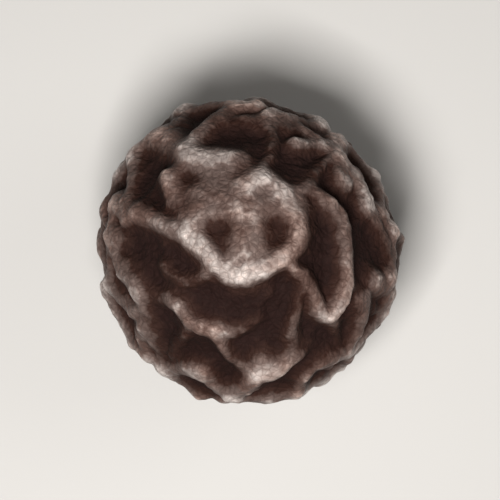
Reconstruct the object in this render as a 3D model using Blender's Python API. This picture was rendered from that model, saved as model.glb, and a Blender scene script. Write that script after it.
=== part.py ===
"""Black peppercorn: one dried pepper berry, lying on a small flat spot.

The berry is a single solid. Its skin has shrunk onto the hard seed inside and stands up in a net of
ridges round hollow cells, with finer wrinkles between them. The ridges on top are laid by hand, the
others by a formula with seeded draws, and all are raised from a ball by one formula. Metres, +Z up,
with the origin in the middle of the flat spot.
"""

import math
from collections import namedtuple

import bmesh
import bpy
import numpy as np

MM = 0.001

# The whole berry
CREST_RADIUS = 2.5 * MM  # from the middle of the berry to the crests of its ridges
AXIS_SHARE = 0.97  # length from stalk scar to tip, as a share of the width
LUMP_HEIGHT = 0.04 * MM
LUMP_WAVELENGTH = 1.3  # radians on the ball, as every wavelength here
LUMP_SEED = 21
KNOB_HEIGHT = 0.022 * MM  # unevenness along the crests
KNOB_WAVELENGTH = 0.3
KNOB_SEED = 4
WAVE_COUNT = 30  # waves that are summed for one smooth random field

# A net of ridges: how many cells it has, how far each cell's middle is nudged (radians), how high the
# ridges stand, half their width, the spread of that width, of the level where ridges meet and of the
# share of it that a ridge loses halfway along, how far it bends there (radians), the straight steps
# between two of its stops, and the seed of the draws
Net = namedtuple("Net", "cells nudge height half_width widths levels sags bend steps seed")
RIDGES = Net(82, 0.13, 0.32 * MM, 0.195 * MM, (0.8, 1.4), (0.8, 1.0), (0.0, 0.3), 0.05, 8, 5)
WRINKLES = Net(290, 0.10, 0.06 * MM, 0.092 * MM, (0.7, 1.3), (0.2, 1.0), (0.2, 1.0), 0.02, 2, 8)

# The ridges on top of the berry: a width share, and the stops that each runs through, as right, up and
# level. Right and up are shares of the crest radius, seen from above; level 1 is a full crest.
TOP_RIDGES = (
    (1.05, ((-0.31, 0.25, 0.7), (-0.35, 0.11, 0.95), (-0.27, -0.02, 1.0), (-0.15, -0.11, 0.95),
            (-0.01, -0.14, 1.0), (0.13, -0.11, 1.0), (0.26, -0.02, 1.05), (0.33, 0.11, 1.0),
            (0.31, 0.25, 1.0), (0.26, 0.36, 0.8))),
    (2.2, ((0.0, -0.08, 0.8), (0.01, 0.10, 0.8), (-0.03, 0.28, 0.8))),
    (2.1, ((-0.29, 0.26, 0.7), (-0.16, 0.31, 0.75), (0.0, 0.31, 0.75), (0.16, 0.32, 0.75),
           (0.28, 0.31, 0.8))),
    (2.2, ((-0.38, 0.32, 0.6), (-0.26, 0.45, 0.7), (-0.12, 0.55, 0.7))),
    (1.3, ((-0.05, 0.43, 0.8), (0.07, 0.47, 1.0), (0.17, 0.45, 0.9), (0.26, 0.36, 0.7))),
    (0.9, ((-0.05, 0.43, 0.7), (-0.07, 0.34, 0.6), (-0.05, 0.26, 0.7))),
    (1.5, ((-0.10, 0.60, 0.7), (-0.30, 0.60, 0.95), (-0.45, 0.68, 0.85), (-0.65, 0.74, 0.7))),
    (1.0, ((-0.10, 0.60, 0.7), (0.02, 0.55, 0.6), (0.08, 0.48, 0.8))),
    (1.1, ((-0.52, 0.46, 0.9), (-0.47, 0.38, 0.8), (-0.40, 0.25, 0.5), (-0.34, 0.14, 0.7))),
    (0.9, ((-0.50, 0.44, 0.9), (-0.44, 0.58, 0.6), (-0.42, 0.66, 0.7))),
    (1.1, ((-0.86, 0.32, 1.0), (-0.74, 0.26, 0.9), (-0.60, 0.20, 0.9), (-0.46, 0.16, 0.75),
           (-0.34, 0.12, 0.8))),
    (1.2, ((-0.86, 0.32, 1.0), (-0.90, 0.14, 0.8), (-0.88, -0.05, 0.8), (-0.80, -0.18, 0.8),
           (-0.74, -0.27, 0.85), (-0.71, -0.42, 0.5), (-0.67, -0.58, 0.7), (-0.60, -0.72, 0.5))),
    (0.9, ((-0.74, -0.27, 0.7), (-0.60, -0.30, 0.4), (-0.46, -0.35, 0.85), (-0.37, -0.47, 0.8),
           (-0.22, -0.54, 0.95), (-0.08, -0.53, 0.6), (0.05, -0.45, 0.35))),
    (0.9, ((-0.55, -0.13, 0.45), (-0.40, -0.20, 0.5), (-0.24, -0.05, 0.8))),
    (0.9, ((-0.20, -0.55, 0.8), (-0.15, -0.68, 0.6), (-0.03, -0.77, 0.6), (0.08, -0.79, 0.85))),
    (1.2, ((0.06, -0.79, 0.85), (0.18, -0.77, 1.0), (0.30, -0.70, 0.8))),
    (0.8, ((0.30, -0.70, 0.6), (0.30, -0.52, 0.65), (0.33, -0.38, 0.6), (0.34, -0.24, 0.6),
           (0.28, -0.09, 0.8))),
    (1.0, ((0.40, 0.44, 0.6), (0.53, 0.34, 0.8), (0.63, 0.22, 0.8), (0.67, 0.04, 0.85), (0.66, -0.18, 1.0),
           (0.56, -0.39, 1.05), (0.46, -0.35, 0.9), (0.40, -0.24, 0.7), (0.30, -0.12, 0.7))),
    (0.8, ((0.26, 0.40, 0.7), (0.40, 0.44, 0.6), (0.48, 0.56, 0.5), (0.59, 0.68, 0.8))),
    (1.1, ((0.38, 0.82, 0.7), (0.59, 0.68, 0.95), (0.76, 0.46, 0.95), (0.87, 0.22, 0.75), (0.94, 0.0, 0.7),
           (0.93, -0.24, 0.7), (0.86, -0.50, 0.8))),
    (0.8, ((0.66, -0.18, 0.7), (0.78, -0.34, 0.4), (0.89, -0.40, 0.6))),
    (1.2, ((-0.20, 0.85, 0.4), (0.0, 0.88, 0.75), (0.16, 0.85, 0.6), (0.38, 0.82, 0.5))),
    (0.8, ((0.07, 0.47, 0.8), (0.16, 0.66, 0.5), (0.16, 0.85, 0.6))),
    (0.9, ((0.56, -0.39, 0.9), (0.60, -0.56, 0.4), (0.55, -0.78, 0.6))),
    (0.8, ((-0.37, -0.47, 0.7), (-0.48, -0.66, 0.4), (-0.50, -0.82, 0.6))),
)
TOP_EDGE = 0.42  # above this height on the unit ball there are only the ridges laid by hand

# The shape of a ridge, and how the whole net is bent out of line
PROFILE_POWER = 2.5  # how round a crest is, and how steep the flanks below it
SKIRT_SHARE = 0.25  # share of the height that runs out in a low, wide foot
SKIRT_WIDTH = 2.3  # width of that foot, as a share of the ridge's
RIDGE_REACH = 2.2  # skirt widths from a ridge's line to where it ends
BLEND_POWER = 5.0  # how sharply one ridge gives way to the next
TOP_LEVEL = 1.08  # the level that no crest passes, not even where ridges meet
TOP_POWER = 6.0  # how late a crest levels off below it
WARP_REACH = 0.02  # radians
WARP_WAVELENGTH = 0.45
WARP_SEED = 11

# The stalk scar, and the tip with the rest of the stigma opposite it
SCAR_AZIMUTH = math.radians(215.0)
SCAR_ELEVATION = math.radians(-20.0)
SCAR_RADIUS = 0.36 * MM
SCAR_SURROUND = 1.7 * SCAR_RADIUS  # out to here the net is levelled by the scar
SCAR_LEVEL = 0.6
SCAR_RIM_HEIGHT = 0.07 * MM
SCAR_RIM_WIDTH = 0.3 * SCAR_RADIUS
SCAR_PIT_DEPTH = 0.10 * MM
TIP_RADIUS = 0.28 * MM
TIP_TOP_RADIUS = 0.04 * MM
TIP_HEIGHT = 0.12 * MM

# The flat spot that the berry lies on
SPOT_RADIUS = 0.72 * MM  # out to here the crests are level with the surface
SPOT_SURROUND = 3.0 * SPOT_RADIUS  # out to here the lumps grow to their full height
BARE_RADIUS = 0.55 * MM  # out to here nothing is hollow
BARE_FADE = 0.2 * MM

# The three low knobs round the flat spot, cut level with it, that keep the berry from rocking
LOW_KNOB_AZIMUTHS = (50.0, 170.0, 290.0)  # degrees
LOW_KNOB_REACH = 1.10 * MM  # from the middle of the spot
LOW_KNOB_HEIGHT = 0.22 * MM
LOW_KNOB_WIDTH = 0.45 * MM

# The mesh
BALL_SUBDIVISIONS = 7
KEPT_SHARE = 0.12  # share of the fine ball's triangles that stay
COORDINATE_STEP = 0.0001 * MM
SMOOTH_ANGLE = math.radians(60.0)
FLAT_NORMAL_Z = -0.9999  # a face that looks more nearly down than this is the flat spot

SKIN_COLOUR = (0.036, 0.024, 0.019, 1.0)
SKIN_ROUGHNESS = 0.62

GOLDEN_TURN = math.pi * (3.0 - math.sqrt(5.0))


def clear_scene():
    for obj in list(bpy.data.objects):
        bpy.data.objects.remove(obj, do_unlink=True)


def unit(vectors):
    return vectors / np.linalg.norm(vectors, axis=-1, keepdims=True)


def toward(azimuth, elevation):
    """The unit vector that points that way from the middle of the berry."""
    level = math.cos(elevation)
    return np.array((level * math.cos(azimuth), level * math.sin(azimuth), math.sin(elevation)))


SCAR = toward(SCAR_AZIMUTH, SCAR_ELEVATION)
TIP = -SCAR
DOWN = np.array((0.0, 0.0, -1.0))
LOW_KNOB_ELEVATION = -math.acos(LOW_KNOB_REACH / CREST_RADIUS)
LOW_KNOBS = [toward(math.radians(azimuth), LOW_KNOB_ELEVATION) for azimuth in LOW_KNOB_AZIMUTHS]


def fade(distance, start, end):
    """1 up to start, 0 from end on, and a smooth step between."""
    share = np.clip((end - distance) / (end - start), 0.0, 1.0)
    return share * share * (3.0 - 2.0 * share)


def waves(directions, wavelength, seed):
    """A smooth random field on the ball, about -1 to 1: the sum of plane waves drawn from the seed."""
    draw = np.random.default_rng(seed)
    headings = unit(draw.normal(size=(WAVE_COUNT, 3))) * (2.0 * math.pi / wavelength)
    phases = draw.uniform(0.0, 2.0 * math.pi, WAVE_COUNT)
    return np.sin(directions @ headings.T + phases).sum(axis=1) / math.sqrt(WAVE_COUNT)


def cell_middles(net, poles, draw):
    """Unit vectors along a spiral over the whole ball, each nudged. The nearest ones move onto the poles."""
    turns = GOLDEN_TURN * np.arange(net.cells)
    heights = 1.0 - (2.0 * np.arange(net.cells) + 1.0) / net.cells
    across = np.sqrt(1.0 - heights ** 2)
    spiral = np.stack((across * np.cos(turns), across * np.sin(turns), heights), axis=1)
    middles = unit(spiral + draw.uniform(-net.nudge, net.nudge, spiral.shape))
    for pole in poles:
        middles[np.argmax(middles @ pole)] = pole
    return middles


def net_lines(middles):
    """The lines of the net: the corners of its cells as unit vectors, and the pairs that a line joins.

    The convex hull of the cells' middles joins each cell to its neighbours. A facet of the hull points
    at the corner where its three cells meet, so two facets that share an edge are the ends of a line.
    """
    hull = bmesh.new()
    for middle in middles:
        hull.verts.new(middle)
    bmesh.ops.convex_hull(hull, input=hull.verts)
    hull.normal_update()
    hull.faces.index_update()
    corners = np.array([face.normal for face in hull.faces])
    pairs = [[face.index for face in edge.link_faces] for edge in hull.edges]
    hull.free()
    return corners, pairs


def net_ridges(net, poles=()):
    """Each ridge of a net as its width share and its three stops: x, y, z on the unit ball, and level."""
    draw = np.random.default_rng(net.seed)
    corners, pairs = net_lines(cell_middles(net, poles, draw))
    stops = np.column_stack((corners, draw.uniform(*net.levels, len(corners))))
    ridges = []
    for first, last in pairs:
        width = draw.uniform(*net.widths)
        middle = 0.5 * (stops[first] + stops[last])
        middle[:3] += draw.uniform(-net.bend, net.bend, 3)
        middle[3] *= 1.0 - draw.uniform(*net.sags)
        ridges.append((width, np.array((stops[first], middle, stops[last]))))
    return ridges


def all_ridges():
    """The ridges laid by hand on top, and the net's own everywhere else."""
    ridges = []
    for width, stops in TOP_RIDGES:
        lifted = [(right, up, math.sqrt(1.0 - right ** 2 - up ** 2), level) for right, up, level in stops]
        ridges.append((width, np.array(lifted)))
    return ridges + [ridge for ridge in net_ridges(RIDGES, (SCAR, TIP)) if ridge[1][:, 2].min() < TOP_EDGE]


def smooth_run(stops, steps):
    """The stops joined by a smooth curve in short straight steps."""
    ends = np.concatenate((2.0 * stops[:1] - stops[1:2], stops, 2.0 * stops[-1:] - stops[-2:-1]))
    run = []
    for before, start, end, after in zip(ends, ends[1:], ends[2:], ends[3:]):
        for share in np.arange(steps) / steps:
            bend = (2.0 * before - 5.0 * start + 4.0 * end - after) * share ** 2
            twist = (3.0 * (start - end) + after - before) * share ** 3
            run.append(start + 0.5 * ((end - before) * share + bend + twist))
    run.append(stops[-1])
    run = np.array(run)
    run[:, :3] = unit(run[:, :3])
    return run


def relief(net, ridges, points):
    """The level of the net at each point on the unit ball: 0 on a cell's floor, about 1 on a crest."""
    total = np.zeros(len(points))
    for width, stops in ridges:
        half_width = net.half_width / CREST_RADIUS * width
        run = smooth_run(stops, net.steps)
        middle = run[:, :3].mean(axis=0)
        reach = np.linalg.norm(run[:, :3] - middle, axis=1).max() + RIDGE_REACH * SKIRT_WIDTH * half_width
        near = np.flatnonzero(((points - middle) ** 2).sum(axis=1) < reach ** 2)
        highest = np.zeros(len(near))
        for start, end in zip(run, run[1:]):
            step = (end - start)[:3]
            offset = points[near] - start[:3]
            along = np.clip(offset @ step / (step @ step), 0.0, 1.0)
            away = np.linalg.norm(offset - along[:, None] * step, axis=1) / half_width
            crest = start[3] + along * (end[3] - start[3])
            flank = (1.0 - SKIRT_SHARE) * np.exp(-away ** PROFILE_POWER)
            skirt = SKIRT_SHARE * np.exp(-(away / SKIRT_WIDTH) ** 2)
            highest = np.maximum(highest, crest * (flank + skirt))
        total[near] += highest ** BLEND_POWER
    level = total ** (1.0 / BLEND_POWER)
    return level / (1.0 + (level / TOP_LEVEL) ** TOP_POWER) ** (1.0 / TOP_POWER)


def surface(directions):
    """Points on the skin in those directions from the middle of the berry."""
    drift = [waves(directions, WARP_WAVELENGTH, WARP_SEED + axis) for axis in range(3)]
    bent = unit(directions + WARP_REACH * np.stack(drift, axis=1))
    level = relief(RIDGES, all_ridges(), bent)
    wrinkle = relief(WRINKLES, net_ridges(WRINKLES), bent)
    scar_distance = CREST_RADIUS * np.linalg.norm(directions - SCAR, axis=1)
    tip_distance = CREST_RADIUS * np.linalg.norm(directions - TIP, axis=1)
    spot_distance = CREST_RADIUS * np.linalg.norm(directions - DOWN, axis=1)
    bare = fade(spot_distance, BARE_RADIUS, BARE_RADIUS + BARE_FADE)
    around_scar = fade(scar_distance, SCAR_RADIUS, SCAR_SURROUND)
    level = level * (1.0 - around_scar) + SCAR_LEVEL * around_scar
    level = level * (1.0 - bare) + bare
    away_from_spot = 1.0 - fade(spot_distance, SPOT_RADIUS, SPOT_SURROUND)
    radius = CREST_RADIUS - RIDGES.height * (1.0 - level)
    radius += WRINKLES.height * wrinkle * (1.0 - level)
    radius += KNOB_HEIGHT * waves(directions, KNOB_WAVELENGTH, KNOB_SEED) * level * away_from_spot
    radius += LUMP_HEIGHT * waves(directions, LUMP_WAVELENGTH, LUMP_SEED) * away_from_spot
    radius += SCAR_RIM_HEIGHT * np.exp(-((scar_distance - SCAR_RADIUS) / SCAR_RIM_WIDTH) ** 2)
    radius -= SCAR_PIT_DEPTH * fade(scar_distance, SCAR_RIM_WIDTH, SCAR_RADIUS)
    radius += TIP_HEIGHT * fade(tip_distance, TIP_TOP_RADIUS, TIP_RADIUS)
    for knob in LOW_KNOBS:
        knob_distance = CREST_RADIUS * np.linalg.norm(directions - knob, axis=1)
        radius += LOW_KNOB_HEIGHT * np.exp(-(knob_distance / LOW_KNOB_WIDTH) ** 2)
    squash = 1.0 - (1.0 - AXIS_SHARE) * (directions @ SCAR) ** 2
    points = directions * (radius * squash)[:, None]
    points[:, 2] += math.sqrt(CREST_RADIUS ** 2 - SPOT_RADIUS ** 2)
    return np.round(points / COORDINATE_STEP) * COORDINATE_STEP


def fine_berry():
    """The berry on an even, fine ball, before its flat spot is cut."""
    ball = bmesh.new()
    bmesh.ops.create_icosphere(ball, subdivisions=BALL_SUBDIVISIONS, radius=1.0)
    directions = unit(np.array([vert.co for vert in ball.verts]))
    for vert, place in zip(ball.verts, surface(directions)):
        vert.co = place
    mesh = bpy.data.meshes.new("peppercorn")
    ball.to_mesh(mesh)
    ball.free()
    obj = bpy.data.objects.new("peppercorn", mesh)
    bpy.context.scene.collection.objects.link(obj)
    return obj


def thin_out(obj):
    """Keeps the triangles where the ridges need them, and takes them off the floors of the cells."""
    thinner = obj.modifiers.new("thin_out", "DECIMATE")
    thinner.ratio = KEPT_SHARE
    bpy.context.view_layer.update()
    kept = bpy.data.meshes.new_from_object(obj.evaluated_get(bpy.context.evaluated_depsgraph_get()))
    obj.modifiers.clear()
    obj.data = kept
    kept.name = "peppercorn"


def cut_flat_spot(obj):
    """Cuts the underside level at z = 0 and closes it with one flat face."""
    berry = bmesh.new()
    berry.from_mesh(obj.data)
    everything = berry.verts[:] + berry.edges[:] + berry.faces[:]
    cut = bmesh.ops.bisect_plane(
        berry, geom=everything, dist=1e-8, plane_co=(0.0, 0.0, 0.0), plane_no=(0.0, 0.0, -1.0), clear_outer=True
    )
    rim = [item for item in cut["geom_cut"] if isinstance(item, bmesh.types.BMEdge)]
    bmesh.ops.contextual_create(berry, geom=rim)
    bmesh.ops.recalc_face_normals(berry, faces=berry.faces)
    berry.to_mesh(obj.data)
    berry.free()


def skin_material():
    material = bpy.data.materials.new("dried_fruit_wall")
    material.use_nodes = True
    shader = material.node_tree.nodes["Principled BSDF"]
    shader.inputs["Base Color"].default_value = SKIN_COLOUR
    shader.inputs["Roughness"].default_value = SKIN_ROUGHNESS
    shader.inputs["Metallic"].default_value = 0.0
    return material


def main():
    clear_scene()
    berry = fine_berry()
    thin_out(berry)
    cut_flat_spot(berry)
    berry.data.materials.append(skin_material())
    berry.data.shade_smooth()
    berry.data.set_sharp_from_angle(angle=SMOOTH_ANGLE)
    for polygon in berry.data.polygons:
        polygon.use_smooth = polygon.normal.z > FLAT_NORMAL_Z


main()
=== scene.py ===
"""Black peppercorn, as it looks: the dried berry with its net of ridges, seen from straight above.

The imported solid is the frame. One finer piece stands for it: the same ridges, raised from an even ball
by the same formula, with the fine creases that the solid is too coarse to hold.
"""
import math
from collections import namedtuple

import bmesh
import bpy
import numpy as np
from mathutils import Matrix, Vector


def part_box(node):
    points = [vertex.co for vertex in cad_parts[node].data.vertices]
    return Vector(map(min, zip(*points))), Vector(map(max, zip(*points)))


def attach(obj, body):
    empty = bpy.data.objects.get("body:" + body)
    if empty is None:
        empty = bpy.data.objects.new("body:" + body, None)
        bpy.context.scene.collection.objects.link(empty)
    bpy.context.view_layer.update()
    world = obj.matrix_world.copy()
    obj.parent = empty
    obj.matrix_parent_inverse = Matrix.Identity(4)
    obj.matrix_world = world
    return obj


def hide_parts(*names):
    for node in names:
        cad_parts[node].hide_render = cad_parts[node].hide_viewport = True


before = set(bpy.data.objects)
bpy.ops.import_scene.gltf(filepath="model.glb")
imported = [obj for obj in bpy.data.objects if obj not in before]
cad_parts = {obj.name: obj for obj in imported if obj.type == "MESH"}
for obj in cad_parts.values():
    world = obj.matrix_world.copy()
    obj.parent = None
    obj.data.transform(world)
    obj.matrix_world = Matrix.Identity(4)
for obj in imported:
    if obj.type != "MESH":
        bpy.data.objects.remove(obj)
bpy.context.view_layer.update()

MM = 0.001

# The whole berry
CREST_RADIUS = 2.5 * MM  # from the middle of the berry to the crests of its ridges
AXIS_SHARE = 0.97  # length from stalk scar to tip, as a share of the width
LUMP_HEIGHT = 0.04 * MM
LUMP_WAVELENGTH = 1.3  # radians on the ball, as every wavelength here
LUMP_SEED = 21
KNOB_HEIGHT = 0.022 * MM  # unevenness along the crests
KNOB_WAVELENGTH = 0.3
KNOB_SEED = 4
WAVE_COUNT = 30  # waves that are summed for one smooth random field

# A net of ridges: how many cells it has, how far each cell's middle is nudged (radians), how high the
# ridges stand, half their width, the spread of that width, of the level where ridges meet and of the
# share of it that a ridge loses halfway along, how far it bends there (radians), the straight steps
# between two of its stops, and the seed of the draws
Net = namedtuple("Net", "cells nudge height half_width widths levels sags bend steps seed")
RIDGES = Net(82, 0.13, 0.32 * MM, 0.195 * MM, (0.8, 1.4), (0.8, 1.0), (0.0, 0.3), 0.05, 8, 5)
WRINKLES = Net(290, 0.10, 0.06 * MM, 0.092 * MM, (0.7, 1.3), (0.2, 1.0), (0.2, 1.0), 0.02, 2, 8)
CREASES = Net(900, 0.07, 0.03 * MM, 0.055 * MM, (0.7, 1.3), (0.1, 1.0), (0.2, 1.0), 0.01, 1, 13)
CREASE_EVEN = 0.5  # the level of the creases that lies even with the skin

# The ridges on top of the berry: a width share, and the stops that each runs through, as right, up and
# level. Right and up are shares of the crest radius, seen from above; level 1 is a full crest.
TOP_RIDGES = (
    (1.05, ((-0.31, 0.25, 0.7), (-0.35, 0.11, 0.95), (-0.27, -0.02, 1.0), (-0.15, -0.11, 0.95),
            (-0.01, -0.14, 1.0), (0.13, -0.11, 1.0), (0.26, -0.02, 1.05), (0.33, 0.11, 1.0),
            (0.31, 0.25, 1.0), (0.26, 0.36, 0.8))),
    (2.2, ((0.0, -0.08, 0.8), (0.01, 0.10, 0.8), (-0.03, 0.28, 0.8))),
    (2.1, ((-0.29, 0.26, 0.7), (-0.16, 0.31, 0.75), (0.0, 0.31, 0.75), (0.16, 0.32, 0.75),
           (0.28, 0.31, 0.8))),
    (2.2, ((-0.38, 0.32, 0.6), (-0.26, 0.45, 0.7), (-0.12, 0.55, 0.7))),
    (1.3, ((-0.05, 0.43, 0.8), (0.07, 0.47, 1.0), (0.17, 0.45, 0.9), (0.26, 0.36, 0.7))),
    (0.9, ((-0.05, 0.43, 0.7), (-0.07, 0.34, 0.6), (-0.05, 0.26, 0.7))),
    (1.5, ((-0.10, 0.60, 0.7), (-0.30, 0.60, 0.95), (-0.45, 0.68, 0.85), (-0.65, 0.74, 0.7))),
    (1.0, ((-0.10, 0.60, 0.7), (0.02, 0.55, 0.6), (0.08, 0.48, 0.8))),
    (1.1, ((-0.52, 0.46, 0.9), (-0.47, 0.38, 0.8), (-0.40, 0.25, 0.5), (-0.34, 0.14, 0.7))),
    (0.9, ((-0.50, 0.44, 0.9), (-0.44, 0.58, 0.6), (-0.42, 0.66, 0.7))),
    (1.1, ((-0.86, 0.32, 1.0), (-0.74, 0.26, 0.9), (-0.60, 0.20, 0.9), (-0.46, 0.16, 0.75),
           (-0.34, 0.12, 0.8))),
    (1.2, ((-0.86, 0.32, 1.0), (-0.90, 0.14, 0.8), (-0.88, -0.05, 0.8), (-0.80, -0.18, 0.8),
           (-0.74, -0.27, 0.85), (-0.71, -0.42, 0.5), (-0.67, -0.58, 0.7), (-0.60, -0.72, 0.5))),
    (0.9, ((-0.74, -0.27, 0.7), (-0.60, -0.30, 0.4), (-0.46, -0.35, 0.85), (-0.37, -0.47, 0.8),
           (-0.22, -0.54, 0.95), (-0.08, -0.53, 0.6), (0.05, -0.45, 0.35))),
    (0.9, ((-0.55, -0.13, 0.45), (-0.40, -0.20, 0.5), (-0.24, -0.05, 0.8))),
    (0.9, ((-0.20, -0.55, 0.8), (-0.15, -0.68, 0.6), (-0.03, -0.77, 0.6), (0.08, -0.79, 0.85))),
    (1.2, ((0.06, -0.79, 0.85), (0.18, -0.77, 1.0), (0.30, -0.70, 0.8))),
    (0.8, ((0.30, -0.70, 0.6), (0.30, -0.52, 0.65), (0.33, -0.38, 0.6), (0.34, -0.24, 0.6),
           (0.28, -0.09, 0.8))),
    (1.0, ((0.40, 0.44, 0.6), (0.53, 0.34, 0.8), (0.63, 0.22, 0.8), (0.67, 0.04, 0.85), (0.66, -0.18, 1.0),
           (0.56, -0.39, 1.05), (0.46, -0.35, 0.9), (0.40, -0.24, 0.7), (0.30, -0.12, 0.7))),
    (0.8, ((0.26, 0.40, 0.7), (0.40, 0.44, 0.6), (0.48, 0.56, 0.5), (0.59, 0.68, 0.8))),
    (1.1, ((0.38, 0.82, 0.7), (0.59, 0.68, 0.95), (0.76, 0.46, 0.95), (0.87, 0.22, 0.75), (0.94, 0.0, 0.7),
           (0.93, -0.24, 0.7), (0.86, -0.50, 0.8))),
    (0.8, ((0.66, -0.18, 0.7), (0.78, -0.34, 0.4), (0.89, -0.40, 0.6))),
    (1.2, ((-0.20, 0.85, 0.4), (0.0, 0.88, 0.75), (0.16, 0.85, 0.6), (0.38, 0.82, 0.5))),
    (0.8, ((0.07, 0.47, 0.8), (0.16, 0.66, 0.5), (0.16, 0.85, 0.6))),
    (0.9, ((0.56, -0.39, 0.9), (0.60, -0.56, 0.4), (0.55, -0.78, 0.6))),
    (0.8, ((-0.37, -0.47, 0.7), (-0.48, -0.66, 0.4), (-0.50, -0.82, 0.6))),
)
TOP_EDGE = 0.42  # above this height on the unit ball there are only the listed ridges

# The shape of a ridge, and how the whole net is bent out of line
PROFILE_POWER = 2.5  # how round a crest is, and how steep the flanks below it
SKIRT_SHARE = 0.25  # share of the height that runs out in a low, wide foot
SKIRT_WIDTH = 2.3  # width of that foot, as a share of the ridge's
RIDGE_REACH = 2.2  # skirt widths from a ridge's line to where it ends
BLEND_POWER = 5.0  # how sharply one ridge gives way to the next
TOP_LEVEL = 1.08  # the level that no crest passes, not even where ridges meet
TOP_POWER = 6.0  # how late a crest levels off below it
WARP_REACH = 0.02  # radians
WARP_WAVELENGTH = 0.45
WARP_SEED = 11

# The stalk scar, and the tip with the rest of the stigma opposite it
SCAR_AZIMUTH = math.radians(215.0)
SCAR_ELEVATION = math.radians(-20.0)
SCAR_RADIUS = 0.36 * MM
SCAR_SURROUND = 1.7 * SCAR_RADIUS  # out to here the net is levelled by the scar
SCAR_LEVEL = 0.6
SCAR_RIM_HEIGHT = 0.07 * MM
SCAR_RIM_WIDTH = 0.3 * SCAR_RADIUS
SCAR_PIT_DEPTH = 0.10 * MM
TIP_RADIUS = 0.28 * MM
TIP_TOP_RADIUS = 0.04 * MM
TIP_HEIGHT = 0.12 * MM

# The flat spot that the berry lies on
SPOT_RADIUS = 0.72 * MM  # out to here the crests are level with the surface
SPOT_SURROUND = 3.0 * SPOT_RADIUS  # out to here the lumps grow to their full height
BARE_RADIUS = 0.55 * MM  # out to here nothing is hollow
BARE_FADE = 0.2 * MM

# The three low knobs round the flat spot, cut level with it, that keep the berry from rocking
LOW_KNOB_AZIMUTHS = (50.0, 170.0, 290.0)  # degrees
LOW_KNOB_REACH = 1.10 * MM  # from the middle of the spot
LOW_KNOB_HEIGHT = 0.22 * MM
LOW_KNOB_WIDTH = 0.45 * MM

# The mesh: a cube's faces, each split into this many squares a side and blown up to a ball
BALL_SQUARES = 128

# The skin's pattern. Real grain and cracks are about half this size, which is too fine to show, so they
# are drawn coarser.
GRAIN_SIZE = 0.09 * MM  # of its crumbly grain
GRAIN_DEPTH = 0.022 * MM
GRAIN_STRENGTH = 0.9
BLOTCH_SIZE = 1.0 * MM  # of its patches of wear
CRACK_SIZE = 0.11 * MM  # from one fine crack to the next
CRACK_DEPTH = 0.036 * MM
CRACK_STRENGTH = 0.8

# How worn the skin is, and how much light is painted on it: the level of its ridges, with these shares of
# the other levels and patterns
WRINKLE_WEAR_AND_LIGHT = 0.10
CREASE_WEAR_AND_LIGHT = 0.16
BLOTCH_WEAR = 0.5
GRAIN_WEAR = 0.25
WEAR_LOSS = 0.49  # taken off again, so that a full crest comes to about 1

# The skin's colours, by wear and painted light, by patch and by distance to a crack
# Painted light: the low stops add painted shade to the hollows' own dark red-brown; the high stops make the
# worn crests paler still, as a painted highlight
SKIN_AND_PAINTED_LIGHT_COLOURS = ((0.12, "#150807"), (0.45, "#261611"), (0.75, "#564944"), (1.0, "#9E948E"))
RUSSET_COLOURS = ((0.42, "#CE9A80"), (0.56, "#FFFFFF"))
RUSSET_SHARE = 0.45
CRACK_COLOURS = ((0.0, "#8E7C74"), (0.14, "#FFFFFF"))
CRACK_SHARE = 0.35
CORK_COLOUR = "#5B4C40"  # of the stalk scar
CORK_SHARE = 0.6

# The skin's gloss
GLOSS_START = 0.3  # the level of wear and painted light at which it begins to show
HOLLOW_ROUGHNESS = 0.85
CREST_ROUGHNESS = 0.30
SKIN_IOR = 1.45
SKIN_SPECULAR = 0.2
SKIN_SPECULAR_TINT = "#FFE2D4"

# The camera
BERRY_SHARE = 0.62  # share of the picture's width that the berry takes
LENS_MM = 200.0
SENSOR_MM = 36.0
NEAREST_SEEN = 1.0 * MM
FARTHEST_SEEN = 10.0

# The floor
FLOOR_SIDE = 0.6
FLOOR_COLOUR = "#AAA7A3"
FLOOR_ROUGHNESS = 0.85
FLOOR_SPECULAR = 0.3

# The light: square lamps that face the berry, each in a direction and at a distance from its middle
Softbox = namedtuple("Softbox", "name direction distance side watts")
SOFTBOXES = (
    Softbox("key", (-0.12, -0.26, 1.0), 30.0 * MM, 10.0 * MM, 0.0195),
    Softbox("fill", (0.8, 0.25, 0.7), 40.0 * MM, 25.0 * MM, 0.0045),
)
SKY_COLOUR = "#F6F2EC"
SKY_STRENGTH = 0.11

GOLDEN_TURN = math.pi * (3.0 - math.sqrt(5.0))

# The colour sockets of a Mix node, whose names are also those of its plain sockets
MIX_FIRST = 6
MIX_SECOND = 7
MIX_RESULT = 2


def unit(vectors):
    return vectors / np.linalg.norm(vectors, axis=-1, keepdims=True)


def toward(azimuth, elevation):
    """The unit vector that points that way from the middle of the berry."""
    level = math.cos(elevation)
    return np.array((level * math.cos(azimuth), level * math.sin(azimuth), math.sin(elevation)))


SCAR = toward(SCAR_AZIMUTH, SCAR_ELEVATION)
TIP = -SCAR
DOWN = np.array((0.0, 0.0, -1.0))
LOW_KNOB_ELEVATION = -math.acos(LOW_KNOB_REACH / CREST_RADIUS)
LOW_KNOBS = [toward(math.radians(azimuth), LOW_KNOB_ELEVATION) for azimuth in LOW_KNOB_AZIMUTHS]


def fade(distance, start, end):
    """1 up to start, 0 from end on, and a smooth step between."""
    share = np.clip((end - distance) / (end - start), 0.0, 1.0)
    return share * share * (3.0 - 2.0 * share)


def waves(directions, wavelength, seed):
    """A smooth random field on the ball, about -1 to 1: the sum of plane waves drawn from the seed."""
    draw = np.random.default_rng(seed)
    headings = unit(draw.normal(size=(WAVE_COUNT, 3))) * (2.0 * math.pi / wavelength)
    phases = draw.uniform(0.0, 2.0 * math.pi, WAVE_COUNT)
    return np.sin(directions @ headings.T + phases).sum(axis=1) / math.sqrt(WAVE_COUNT)


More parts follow.
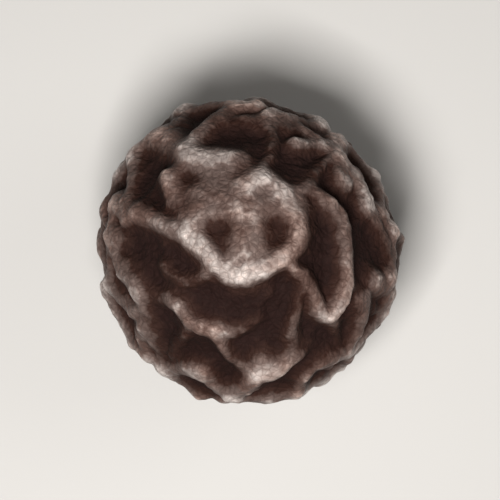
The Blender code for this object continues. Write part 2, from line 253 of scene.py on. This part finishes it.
def cell_middles(net, poles, draw):
    """Unit vectors along a spiral over the whole ball, each nudged. The nearest ones move onto the poles."""
    turns = GOLDEN_TURN * np.arange(net.cells)
    heights = 1.0 - (2.0 * np.arange(net.cells) + 1.0) / net.cells
    across = np.sqrt(1.0 - heights ** 2)
    spiral = np.stack((across * np.cos(turns), across * np.sin(turns), heights), axis=1)
    middles = unit(spiral + draw.uniform(-net.nudge, net.nudge, spiral.shape))
    for pole in poles:
        middles[np.argmax(middles @ pole)] = pole
    return middles


def net_lines(middles):
    """The lines of the net: the corners of its cells as unit vectors, and the pairs that a line joins.

    The convex hull of the cells' middles joins each cell to its neighbours. A facet of the hull points
    at the corner where its three cells meet, so two facets that share an edge are the ends of a line.
    """
    hull = bmesh.new()
    for middle in middles:
        hull.verts.new(middle)
    bmesh.ops.convex_hull(hull, input=hull.verts)
    hull.normal_update()
    hull.faces.index_update()
    corners = np.array([face.normal for face in hull.faces])
    pairs = [[face.index for face in edge.link_faces] for edge in hull.edges]
    hull.free()
    return corners, pairs


def net_ridges(net, poles=()):
    """Each ridge of a net as its width share and its three stops: x, y, z on the unit ball, and level."""
    draw = np.random.default_rng(net.seed)
    corners, pairs = net_lines(cell_middles(net, poles, draw))
    stops = np.column_stack((corners, draw.uniform(*net.levels, len(corners))))
    ridges = []
    for first, last in pairs:
        width = draw.uniform(*net.widths)
        middle = 0.5 * (stops[first] + stops[last])
        middle[:3] += draw.uniform(-net.bend, net.bend, 3)
        middle[3] *= 1.0 - draw.uniform(*net.sags)
        ridges.append((width, np.array((stops[first], middle, stops[last]))))
    return ridges


def all_ridges():
    """The listed ridges on top, and the net's own everywhere else."""
    ridges = []
    for width, stops in TOP_RIDGES:
        lifted = [(right, up, math.sqrt(1.0 - right ** 2 - up ** 2), level) for right, up, level in stops]
        ridges.append((width, np.array(lifted)))
    return ridges + [ridge for ridge in net_ridges(RIDGES, (SCAR, TIP)) if ridge[1][:, 2].min() < TOP_EDGE]


def smooth_run(stops, steps):
    """The stops joined by a smooth curve in short straight steps. The stops before and after a stretch
    bend it; at either end the run is taken on straight."""
    ends = np.concatenate((2.0 * stops[:1] - stops[1:2], stops, 2.0 * stops[-1:] - stops[-2:-1]))
    run = []
    for before, start, end, after in zip(ends, ends[1:], ends[2:], ends[3:]):
        for share in np.arange(steps) / steps:
            bend = (2.0 * before - 5.0 * start + 4.0 * end - after) * share ** 2
            twist = (3.0 * (start - end) + after - before) * share ** 3
            run.append(start + 0.5 * ((end - before) * share + bend + twist))
    run.append(stops[-1])
    run = np.array(run)
    run[:, :3] = unit(run[:, :3])
    return run


def relief(net, ridges, points):
    """The level of the net at each point on the unit ball: 0 on a cell's floor, about 1 on a crest."""
    total = np.zeros(len(points))
    for width, stops in ridges:
        half_width = net.half_width / CREST_RADIUS * width
        run = smooth_run(stops, net.steps)
        middle = run[:, :3].mean(axis=0)
        reach = np.linalg.norm(run[:, :3] - middle, axis=1).max() + RIDGE_REACH * SKIRT_WIDTH * half_width
        near = np.flatnonzero(((points - middle) ** 2).sum(axis=1) < reach ** 2)
        highest = np.zeros(len(near))
        for start, end in zip(run, run[1:]):
            step = (end - start)[:3]
            offset = points[near] - start[:3]
            along = np.clip(offset @ step / (step @ step), 0.0, 1.0)
            away = np.linalg.norm(offset - along[:, None] * step, axis=1) / half_width
            crest = start[3] + along * (end[3] - start[3])
            flank = (1.0 - SKIRT_SHARE) * np.exp(-away ** PROFILE_POWER)
            skirt = SKIRT_SHARE * np.exp(-(away / SKIRT_WIDTH) ** 2)
            highest = np.maximum(highest, crest * (flank + skirt))
        total[near] += highest ** BLEND_POWER
    level = total ** (1.0 / BLEND_POWER)
    return level / (1.0 + (level / TOP_LEVEL) ** TOP_POWER) ** (1.0 / TOP_POWER)


def surface(directions):
    """Points on the skin in those directions from the middle of the berry, with the levels of the nets."""
    drift = [waves(directions, WARP_WAVELENGTH, WARP_SEED + axis) for axis in range(3)]
    bent = unit(directions + WARP_REACH * np.stack(drift, axis=1))
    level = relief(RIDGES, all_ridges(), bent)
    wrinkle = relief(WRINKLES, net_ridges(WRINKLES), bent)
    crease = relief(CREASES, net_ridges(CREASES), bent)
    scar_distance = CREST_RADIUS * np.linalg.norm(directions - SCAR, axis=1)
    tip_distance = CREST_RADIUS * np.linalg.norm(directions - TIP, axis=1)
    spot_distance = CREST_RADIUS * np.linalg.norm(directions - DOWN, axis=1)
    bare = fade(spot_distance, BARE_RADIUS, BARE_RADIUS + BARE_FADE)
    around_scar = fade(scar_distance, SCAR_RADIUS, SCAR_SURROUND)
    level = level * (1.0 - around_scar) + SCAR_LEVEL * around_scar
    level = level * (1.0 - bare) + bare
    away_from_spot = 1.0 - fade(spot_distance, SPOT_RADIUS, SPOT_SURROUND)
    radius = CREST_RADIUS - RIDGES.height * (1.0 - level)
    radius += WRINKLES.height * wrinkle * (1.0 - level)
    radius += CREASES.height * (crease - CREASE_EVEN)
    radius += KNOB_HEIGHT * waves(directions, KNOB_WAVELENGTH, KNOB_SEED) * level * away_from_spot
    radius += LUMP_HEIGHT * waves(directions, LUMP_WAVELENGTH, LUMP_SEED) * away_from_spot
    radius += SCAR_RIM_HEIGHT * np.exp(-((scar_distance - SCAR_RADIUS) / SCAR_RIM_WIDTH) ** 2)
    radius -= SCAR_PIT_DEPTH * fade(scar_distance, SCAR_RIM_WIDTH, SCAR_RADIUS)
    radius += TIP_HEIGHT * fade(tip_distance, TIP_TOP_RADIUS, TIP_RADIUS)
    for knob in LOW_KNOBS:
        knob_distance = CREST_RADIUS * np.linalg.norm(directions - knob, axis=1)
        radius += LOW_KNOB_HEIGHT * np.exp(-(knob_distance / LOW_KNOB_WIDTH) ** 2)
    squash = 1.0 - (1.0 - AXIS_SHARE) * (directions @ SCAR) ** 2
    points = directions * (radius * squash)[:, None]
    points[:, 2] += math.sqrt(CREST_RADIUS ** 2 - SPOT_RADIUS ** 2)
    return points, {"ridge": level, "wrinkle": wrinkle, "crease": crease, "scar": around_scar}


def even_ball():
    """A ball of nearly equal squares, and the unit vectors to its points."""
    ball = bmesh.new()
    bmesh.ops.create_cube(ball, size=2.0)
    bmesh.ops.subdivide_edges(ball, edges=ball.edges[:], cuts=BALL_SQUARES - 1, use_grid_fill=True)
    cube = np.array([vert.co for vert in ball.verts])
    return ball, unit(np.tan(cube * math.pi / 4.0))


def add_object(name, data):
    """Adds an object that holds the mesh, lamp or camera."""
    obj = bpy.data.objects.new(name, data)
    bpy.context.scene.collection.objects.link(obj)
    return obj


def berry_skin():
    """The whole outside of the berry, with the levels of its nets kept for the material."""
    ball, directions = even_ball()
    points, levels = surface(directions)
    points[:, 2] = np.maximum(points[:, 2], 0.0)
    for vert, place in zip(ball.verts, points):
        vert.co = place
    bmesh.ops.recalc_face_normals(ball, faces=ball.faces)
    mesh = bpy.data.meshes.new("wrinkled_skin")
    ball.to_mesh(mesh)
    ball.free()
    for name, values in levels.items():
        attribute = mesh.attributes.new(name, "FLOAT", "POINT")
        attribute.data.foreach_set("value", values.astype(np.float32))
    mesh.shade_smooth()
    return add_object("wrinkled_skin", mesh)


def linear(hex_colour):
    """An sRGB hex colour as linear RGBA."""
    parts = [int(hex_colour[i:i + 2], 16) / 255.0 for i in (1, 3, 5)]
    return [c / 12.92 if c <= 0.04045 else ((c + 0.055) / 1.055) ** 2.4 for c in parts] + [1.0]


def add_node(tree, kind, inputs=None, stops=(), **settings):
    """Adds a node with its settings, and with its colour stops if it is a ramp. A value in inputs is a plain
    value, or a socket to link from."""
    node = tree.nodes.new(kind)
    for name, value in settings.items():
        setattr(node, name, value)
    for name, value in (inputs or {}).items():
        if isinstance(value, bpy.types.NodeSocket):
            tree.links.new(value, node.inputs[name])
        else:
            node.inputs[name].default_value = value
    for _ in stops[2:]:  # a new ramp has two
        node.color_ramp.elements.new(0.5)
    for number, (position, colour) in enumerate(stops):
        element = node.color_ramp.elements[number]
        element.position = position
        element.color = linear(colour)
    return node


def dried_pepper_skin():
    """Dried fruit wall, shrunk and air-dried: dark red-brown in the hollows, with painted shade on top
    there, worn to a grey taupe here and there on the crests, which are painted paler still as a painted
    highlight, with a crumbly grain, fine dark cracks and a faint waxy sheen on the crests alone. The stalk
    scar is paler, like cork."""
    material = bpy.data.materials.new("dried_pepper_skin")
    material.use_nodes = True
    tree = material.node_tree
    shader = tree.nodes["Principled BSDF"]
    place = add_node(tree, "ShaderNodeTexCoord").outputs["Object"]
    ridge, wrinkle, crease, scar = [
        add_node(tree, "ShaderNodeAttribute", attribute_name=name).outputs["Fac"]
        for name in ("ridge", "wrinkle", "crease", "scar")
    ]

    grain = add_node(
        tree,
        "ShaderNodeTexNoise",
        {"Vector": place, "Scale": 1.0 / GRAIN_SIZE, "Detail": 2.0, "Roughness": 0.5},
    ).outputs["Fac"]
    blotch = add_node(
        tree,
        "ShaderNodeTexNoise",
        {"Vector": place, "Scale": 1.0 / BLOTCH_SIZE, "Detail": 4.0, "Roughness": 0.6},
    ).outputs["Fac"]
    cracks = add_node(
        tree,
        "ShaderNodeTexVoronoi",
        {"Vector": place, "Scale": 1.0 / CRACK_SIZE, "Randomness": 1.0},
        feature="DISTANCE_TO_EDGE",
    ).outputs["Distance"]

    # This mask is partly wear and partly painted light: high on the crests, low in the hollows
    wear_and_painted_light = ridge
    for level, share in (
        (wrinkle, WRINKLE_WEAR_AND_LIGHT),
        (crease, CREASE_WEAR_AND_LIGHT),
        (blotch, BLOTCH_WEAR),
        (grain, GRAIN_WEAR),
    ):
        wear_and_painted_light = add_node(
            tree, "ShaderNodeMath", {0: level, 1: share, 2: wear_and_painted_light}, operation="MULTIPLY_ADD"
        ).outputs[0]
    wear_and_painted_light = add_node(tree, "ShaderNodeMath", {0: wear_and_painted_light, 1: WEAR_LOSS}, operation="SUBTRACT").outputs[0]

    # This ramp paints shade into the hollows and a painted highlight onto the crests, over the skin's own
    # colours
    skin = add_node(tree, "ShaderNodeValToRGB", {"Fac": wear_and_painted_light}, SKIN_AND_PAINTED_LIGHT_COLOURS).outputs["Color"]
    russet = add_node(tree, "ShaderNodeValToRGB", {"Fac": blotch}, RUSSET_COLOURS).outputs["Color"]
    tinted = add_node(
        tree,
        "ShaderNodeMix",
        {"Factor": RUSSET_SHARE, MIX_FIRST: skin, MIX_SECOND: russet},
        data_type="RGBA",
        blend_type="MULTIPLY",
    ).outputs[MIX_RESULT]
    cork = add_node(tree, "ShaderNodeMath", {0: scar, 1: CORK_SHARE}, operation="MULTIPLY").outputs[0]
    scarred = add_node(
        tree,
        "ShaderNodeMix",
        {"Factor": cork, MIX_FIRST: tinted, MIX_SECOND: linear(CORK_COLOUR)},
        data_type="RGBA",
    ).outputs[MIX_RESULT]
    crack_shade = add_node(tree, "ShaderNodeValToRGB", {"Fac": cracks}, CRACK_COLOURS).outputs["Color"]
    cracked = add_node(
        tree,
        "ShaderNodeMix",
        {"Factor": CRACK_SHARE, MIX_FIRST: scarred, MIX_SECOND: crack_shade},
        data_type="RGBA",
        blend_type="MULTIPLY",
    ).outputs[MIX_RESULT]
    tree.links.new(cracked, shader.inputs["Base Color"])

    rough = add_node(
        tree,
        "ShaderNodeMapRange",
        {"Value": wear_and_painted_light, "From Min": GLOSS_START, "To Min": HOLLOW_ROUGHNESS, "To Max": CREST_ROUGHNESS},
    ).outputs["Result"]
    tree.links.new(rough, shader.inputs["Roughness"])
    shader.inputs["IOR"].default_value = SKIN_IOR
    shader.inputs["Specular IOR Level"].default_value = SKIN_SPECULAR
    shader.inputs["Specular Tint"].default_value = linear(SKIN_SPECULAR_TINT)

    crumbs = add_node(
        tree, "ShaderNodeBump", {"Strength": GRAIN_STRENGTH, "Distance": GRAIN_DEPTH, "Height": grain}
    ).outputs["Normal"]
    crackle = add_node(
        tree,
        "ShaderNodeBump",
        {"Strength": CRACK_STRENGTH, "Distance": CRACK_DEPTH, "Height": cracks, "Normal": crumbs},
    ).outputs["Normal"]
    tree.links.new(crackle, shader.inputs["Normal"])
    return material


def pale_floor():
    """Matt painted board, pale and even."""
    material = bpy.data.materials.new("matt_white_board")
    material.use_nodes = True
    shader = material.node_tree.nodes["Principled BSDF"]
    shader.inputs["Base Color"].default_value = linear(FLOOR_COLOUR)
    shader.inputs["Roughness"].default_value = FLOOR_ROUGHNESS
    shader.inputs["Specular IOR Level"].default_value = FLOOR_SPECULAR
    sheet = bmesh.new()
    bmesh.ops.create_grid(sheet, x_segments=1, y_segments=1, size=FLOOR_SIDE / 2.0)
    mesh = bpy.data.meshes.new("floor")
    sheet.to_mesh(mesh)
    sheet.free()
    mesh.materials.append(material)
    floor = add_object("floor", mesh)


def studio(middle):
    """Two softboxes that face the middle of the berry, and a faint even light from all round."""
    world = bpy.data.worlds.new("studio")
    bpy.context.scene.world = world
    world.use_nodes = True
    background = world.node_tree.nodes["Background"]
    background.inputs["Color"].default_value = linear(SKY_COLOUR)
    background.inputs["Strength"].default_value = SKY_STRENGTH
    for softbox in SOFTBOXES:
        lamp = bpy.data.lights.new(softbox.name, "AREA")
        lamp.shape = "SQUARE"
        lamp.size = softbox.side
        lamp.energy = softbox.watts
        obj = add_object(softbox.name, lamp)
        obj.location = middle + Vector(softbox.direction).normalized() * softbox.distance
        obj.rotation_euler = (middle - obj.location).to_track_quat("-Z", "Y").to_euler()


def top_camera(middle, berry_width):
    """Straight down on the berry, from far enough that the view is nearly parallel."""
    camera = bpy.data.cameras.new("camera")
    camera.lens = LENS_MM
    camera.sensor_width = SENSOR_MM
    camera.sensor_height = SENSOR_MM
    camera.clip_start = NEAREST_SEEN
    camera.clip_end = FARTHEST_SEEN
    obj = add_object("camera", camera)
    obj.location = middle + Vector((0.0, 0.0, berry_width / BERRY_SHARE * LENS_MM / SENSOR_MM))
    bpy.context.scene.camera = obj


def main():
    lowest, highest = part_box("peppercorn")
    middle = (lowest + highest) / 2.0
    skin = berry_skin()
    skin.data.materials.append(dried_pepper_skin())
    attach(skin, "root")
    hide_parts("peppercorn")
    pale_floor()
    studio(middle)
    top_camera(middle, max(highest.x - lowest.x, highest.y - lowest.y))
    bpy.context.scene.view_settings.view_transform = "Standard"


main()
